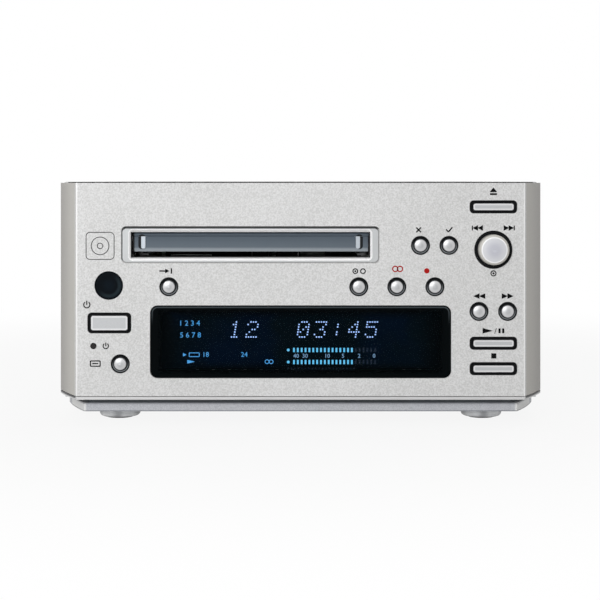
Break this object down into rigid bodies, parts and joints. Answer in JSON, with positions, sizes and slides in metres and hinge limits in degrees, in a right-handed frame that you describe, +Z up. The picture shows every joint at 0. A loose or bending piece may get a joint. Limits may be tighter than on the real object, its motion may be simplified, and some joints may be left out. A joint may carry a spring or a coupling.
{
  "type": "minidisc deck",
  "caption": "Micro-component minidisc recorder: swept metal front, flap over the disc slot, dark display, push keys, push-and-turn jog knob, plinth on round feet, rear line and optical jacks.",
  "frame": {"origin": "on the surface that the feet stand on, under the middle of the deck's overall box", "axes": "+X to the right seen from the front, +Y from the front to the back, +Z up"},
  "size_m": [0.1568, 0.25, 0.0763],
  "materials": {
    "panel_metal": "satin, fine grain",
    "trim_metal": "satin",
    "bezel_metal": "silver, bright",
    "door_plastic": "satin",
    "black_plastic": "satin",
    "window_glass": "gloss",
    "tube_glass": "gloss",
    "lamp_plastic": "translucent",
    "key_plastic": "silver, satin",
    "knob_metal": "turned, satin",
    "cover_metal": "fine texture",
    "plinth_metal": "satin",
    "foot_plastic": "satin",
    "pad_rubber": "matt",
    "pan_steel": "zinc plated",
    "screw_steel": "plated",
    "rear_steel": "satin black",
    "jack_plastic": "satin",
    "jack_metal": "plated",
    "core_steel": "lacquered laminations",
    "winding_copper": "taped winding",
    "board_laminate": "solder mask",
    "can_sleeve": "sleeve",
    "chip_plastic": "matt",
    "mechanism_steel": "plated",
    "gear_plastic": "natural",
    "motor_steel": "plated",
    "brass_part": "turned",
    "damper_rubber": "soft",
    "sled_metal": "die cast"
  },
  "bodies": {
    "case": {"base_plate": "plinth_metal", "board_chips": "chip_plastic", "capacitors": "can_sleeve", "case_screws": "screw_steel", "chassis_pan": "pan_steel", "display_tube": "tube_glass", "display_window": "window_glass", "feet": "foot_plastic", "foot_pads": "pad_rubber", "front_board": "board_laminate", "front_frame": "black_plastic", "front_panel": "panel_metal", "guide_rods": "motor_steel", "jack_block": "jack_plastic", "jack_shells": "jack_metal", "jog_encoder": "black_plastic", "key_switches": "black_plastic", "loading_motor": "motor_steel", "lower_trim": "trim_metal", "main_board": "board_laminate", "mechanism_brackets": "pan_steel", "mechanism_deck": "mechanism_steel", "optical_ports": "jack_plastic", "power_board": "board_laminate", "power_inlet": "jack_plastic", "rear_panel": "rear_steel", "remote_jacks": "jack_plastic", "rubber_mounts": "damper_rubber", "sensor_window": "window_glass", "sled_motor": "motor_steel", "slot_bezel": "bezel_metal", "spindle_motor": "motor_steel", "standby_lamp": "lamp_plastic", "top_cover": "cover_metal", "transformer_core": "core_steel", "transformer_winding": "winding_copper"},
    "slot_flap": {"slot_door": "door_plastic"},
    "jog_shaft": {"jog_plunger": "black_plastic"},
    "jog_wheel": {"jog_knob": "knob_metal"},
    "cam_slider": {"loading_slider": "gear_plastic"},
    "holder": {"cartridge_holder": "mechanism_steel"},
    "drive_gear": {"loading_gear": "gear_plastic"},
    "motor_shaft": {"motor_pinion": "brass_part"},
    "spindle": {"turntable": "brass_part"},
    "sled": {"pickup_sled": "sled_metal"},
    "screw_shaft": {"lead_screw": "motor_steel"},
    "head_lever": {"head_arm": "mechanism_steel"},
    "input_key": {"input_button": "key_plastic"},
    "rec_mode_key": {"rec_mode_button": "key_plastic"},
    "dubbing_key": {"dubbing_button": "key_plastic"},
    "record_key": {"record_button": "key_plastic"},
    "edit_key": {"edit_button": "key_plastic"},
    "yes_key": {"yes_button": "key_plastic"},
    "rewind_key": {"rewind_button": "key_plastic"},
    "forward_key": {"forward_button": "key_plastic"},
    "display_key": {"display_button": "key_plastic"},
    "eject_key": {"eject_button": "key_plastic"},
    "play_key": {"play_button": "key_plastic"},
    "stop_key": {"stop_button": "key_plastic"},
    "power_key": {"power_button": "key_plastic"}
  },
  "joints": [
    {"name": "input_press", "type": "slide", "parent": "case", "child": "input_key", "axis": [0, 1, 0], "range_m": [0, 0.0006], "stiffness_N_per_m": 800},
    {"name": "rec_mode_press", "type": "slide", "parent": "case", "child": "rec_mode_key", "axis": [0, 1, 0], "range_m": [0, 0.0006], "stiffness_N_per_m": 800},
    {"name": "dubbing_press", "type": "slide", "parent": "case", "child": "dubbing_key", "axis": [0, 1, 0], "range_m": [0, 0.0006], "stiffness_N_per_m": 800},
    {"name": "record_press", "type": "slide", "parent": "case", "child": "record_key", "axis": [0, 1, 0], "range_m": [0, 0.0006], "stiffness_N_per_m": 800},
    {"name": "edit_press", "type": "slide", "parent": "case", "child": "edit_key", "axis": [0, 1, 0], "range_m": [0, 0.0006], "stiffness_N_per_m": 800},
    {"name": "yes_press", "type": "slide", "parent": "case", "child": "yes_key", "axis": [0, 1, 0], "range_m": [0, 0.0006], "stiffness_N_per_m": 800},
    {"name": "rewind_press", "type": "slide", "parent": "case", "child": "rewind_key", "axis": [0, 1, 0], "range_m": [0, 0.0006], "stiffness_N_per_m": 800},
    {"name": "forward_press", "type": "slide", "parent": "case", "child": "forward_key", "axis": [0, 1, 0], "range_m": [0, 0.0006], "stiffness_N_per_m": 800},
    {"name": "display_press", "type": "slide", "parent": "case", "child": "display_key", "axis": [0, 1, 0], "range_m": [0, 0.0006], "stiffness_N_per_m": 800},
    {"name": "eject_press", "type": "slide", "parent": "case", "child": "eject_key", "axis": [0, 1, 0], "range_m": [0, 0.0006], "stiffness_N_per_m": 800},
    {"name": "play_press", "type": "slide", "parent": "case", "child": "play_key", "axis": [0, 1, 0], "range_m": [0, 0.0006], "stiffness_N_per_m": 800},
    {"name": "stop_press", "type": "slide", "parent": "case", "child": "stop_key", "axis": [0, 1, 0], "range_m": [0, 0.0006], "stiffness_N_per_m": 800},
    {"name": "power_press", "type": "slide", "parent": "case", "child": "power_key", "axis": [0, 1, 0], "range_m": [0, 0.0006], "stiffness_N_per_m": 800},
    {"name": "jog_push", "type": "slide", "parent": "case", "child": "jog_shaft", "axis": [0, 1, 0], "range_m": [0, 0.0005], "stiffness_N_per_m": 800},
    {"name": "jog_turn", "type": "hinge", "parent": "jog_shaft", "child": "jog_wheel", "pos_m": [0.0603, -0.122, 0.0551], "axis": [0, 1, 0], "continuous": true},
    {"name": "flap_swing", "type": "hinge", "parent": "case", "child": "slot_flap", "pos_m": [-0.0157, -0.11915, 0.0597], "axis": [1, 0, 0], "range_deg": [0, 85], "stiffness_Nm_per_rad": 0.0005, "springref_deg": -2.86},
    {"name": "loading_slide", "type": "slide", "parent": "case", "child": "cam_slider", "axis": [0, 1, 0], "range_m": [0, 0.015]},
    {"name": "holder_lower", "type": "slide", "parent": "case", "child": "holder", "axis": [0, 0, -1], "range_m": [0, 0.005]},
    {"name": "drive_gear_spin", "type": "hinge", "parent": "case", "child": "drive_gear", "pos_m": [-0.0537, -0.022, 0.0417], "axis": [-1, 0, 0], "range_deg": [0, 144]},
    {"name": "motor_spin", "type": "hinge", "parent": "case", "child": "motor_shaft", "pos_m": [-0.0527, -0.009, 0.0417], "axis": [1, 0, 0], "range_deg": [0, 478]},
    {"name": "spindle_spin", "type": "hinge", "parent": "case", "child": "spindle", "pos_m": [-0.0157, -0.068, 0.0467], "axis": [0, 0, 1], "continuous": true},
    {"name": "sled_slide", "type": "slide", "parent": "case", "child": "sled", "axis": [1, 0, 0], "range_m": [0, 0.016]},
    {"name": "screw_spin", "type": "hinge", "parent": "case", "child": "screw_shaft", "pos_m": [0.0043, -0.0495, 0.0397], "axis": [1, 0, 0], "range_deg": [0, 2881]},
    {"name": "head_lower", "type": "hinge", "parent": "sled", "child": "head_lever", "pos_m": [0.0293, -0.068, 0.0605], "axis": [0, -1, 0], "range_deg": [0, 9], "stiffness_Nm_per_rad": 0.02, "springref_deg": -2.86}
  ],
  "couplings": [
    {"joint": "holder_lower", "follows": "loading_slide", "ratio": 0.33333},
    {"joint": "drive_gear_spin", "follows": "loading_slide", "rad_per_m": 166.67},
    {"joint": "motor_spin", "follows": "loading_slide", "rad_per_m": 555.56},
    {"joint": "screw_spin", "follows": "sled_slide", "rad_per_m": 3141.6}
  ]
}
